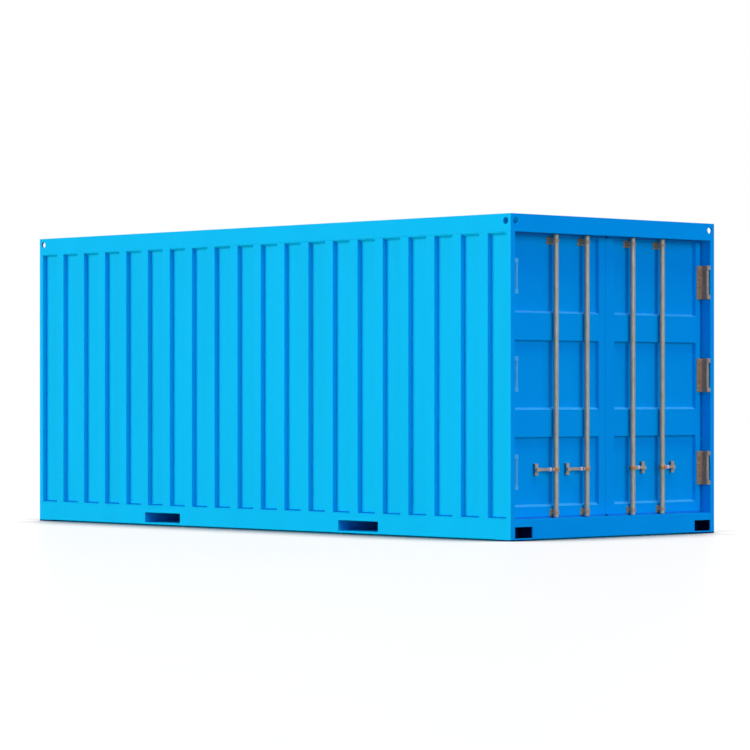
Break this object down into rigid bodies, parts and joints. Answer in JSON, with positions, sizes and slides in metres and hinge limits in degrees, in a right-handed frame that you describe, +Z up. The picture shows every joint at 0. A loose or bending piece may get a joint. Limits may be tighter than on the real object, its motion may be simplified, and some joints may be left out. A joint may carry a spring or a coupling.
{
  "type": "twenty-foot steel shipping container",
  "caption": "Closed steel freight container with corrugated walls, hinged end doors with locking bars, forklift pockets and corner fittings.",
  "frame": {"origin": "middle of the footprint on the ground", "axes": "+X along the length towards the door end, +Y to the right side seen from the doors, +Z up"},
  "size_m": [6.058, 2.438, 2.591],
  "materials": {
    "container_paint": "satin sky-blue container paint",
    "fitting_paint": "satin sky-blue container paint",
    "bar_steel": "weathered galvanised steel",
    "hinge_steel": "brown weathered forged steel",
    "hinge_paint": "pale blue painted forged steel",
    "seal_rubber": "navy rubber door seal",
    "deck_plywood": "phenolic-coated plywood"
  },
  "bodies": {
    "container": {"front_wall": "container_paint", "roof_panel": "container_paint", "floor_deck": "deck_plywood", "front_header": "container_paint", "front_sill": "container_paint", "door_header": "container_paint", "door_sill": "container_paint", "cross_members_front": "container_paint", "cross_members_middle": "container_paint", "cross_members_rear": "container_paint", "forklift_pocket_front": "container_paint", "forklift_pocket_rear": "container_paint", "top_fittings_front": "fitting_paint", "top_fittings_rear": "fitting_paint", "base_fittings_front": "fitting_paint", "base_fittings_rear": "fitting_paint", "side_wall_left": "container_paint", "top_rail_left": "container_paint", "base_rail_left": "container_paint", "front_post_left": "container_paint", "rear_post_left": "container_paint", "hinge_lugs_left": "hinge_paint", "side_wall_right": "container_paint", "top_rail_right": "container_paint", "base_rail_right": "container_paint", "front_post_right": "container_paint", "rear_post_right": "container_paint", "hinge_lugs_right": "hinge_steel"},
    "door_left": {"door_panel_left": "container_paint", "door_frame_left": "container_paint", "door_gasket_left": "seal_rubber", "hinge_blades_left": "hinge_paint", "bar_brackets_left": "hinge_steel", "handle_catches_left": "bar_steel"},
    "door_right": {"door_panel_right": "container_paint", "door_frame_right": "container_paint", "door_gasket_right": "seal_rubber", "hinge_blades_right": "hinge_steel", "bar_brackets_right": "hinge_steel", "handle_catches_right": "bar_steel"},
    "bar_1": {"locking_bar_1": "bar_steel"},
    "handle_1": {"locking_handle_1": "bar_steel"},
    "bar_2": {"locking_bar_2": "bar_steel"},
    "handle_2": {"locking_handle_2": "bar_steel"},
    "bar_3": {"locking_bar_3": "bar_steel"},
    "handle_3": {"locking_handle_3": "bar_steel"},
    "bar_4": {"locking_bar_4": "bar_steel"},
    "handle_4": {"locking_handle_4": "bar_steel"}
  },
  "joints": [
    {"name": "door_left_hinge", "type": "hinge", "parent": "container", "child": "door_left", "pos_m": [3.017, -1.145, 1.322], "axis": [0, 0, -1], "range_deg": [0, 263]},
    {"name": "door_right_hinge", "type": "hinge", "parent": "container", "child": "door_right", "pos_m": [3.017, 1.145, 1.322], "axis": [0, 0, 1], "range_deg": [0, 263]},
    {"name": "bar_1_turn", "type": "hinge", "parent": "door_left", "child": "bar_1", "pos_m": [2.967, -0.637, 0.56], "axis": [0, 0, -1], "range_deg": [-110, 0]},
    {"name": "bar_2_turn", "type": "hinge", "parent": "door_left", "child": "bar_2", "pos_m": [2.967, -0.275, 0.56], "axis": [0, 0, -1], "range_deg": [-110, 0]},
    {"name": "bar_3_turn", "type": "hinge", "parent": "door_right", "child": "bar_3", "pos_m": [2.967, 0.275, 0.56], "axis": [0, 0, 1], "range_deg": [-110, 0]},
    {"name": "bar_4_turn", "type": "hinge", "parent": "door_right", "child": "bar_4", "pos_m": [2.967, 0.637, 0.56], "axis": [0, 0, 1], "range_deg": [-110, 0]},
    {"name": "handle_1_lift", "type": "hinge", "parent": "bar_1", "child": "handle_1", "pos_m": [2.967, -0.677, 0.56], "axis": [1, 0, 0], "range_deg": [-45, 0]},
    {"name": "handle_2_lift", "type": "hinge", "parent": "bar_2", "child": "handle_2", "pos_m": [2.967, -0.315, 0.56], "axis": [1, 0, 0], "range_deg": [-45, 0]},
    {"name": "handle_3_lift", "type": "hinge", "parent": "bar_3", "child": "handle_3", "pos_m": [2.967, 0.315, 0.56], "axis": [-1, 0, 0], "range_deg": [-45, 0]},
    {"name": "handle_4_lift", "type": "hinge", "parent": "bar_4", "child": "handle_4", "pos_m": [2.967, 0.677, 0.56], "axis": [-1, 0, 0], "range_deg": [-45, 0]}
  ]
}
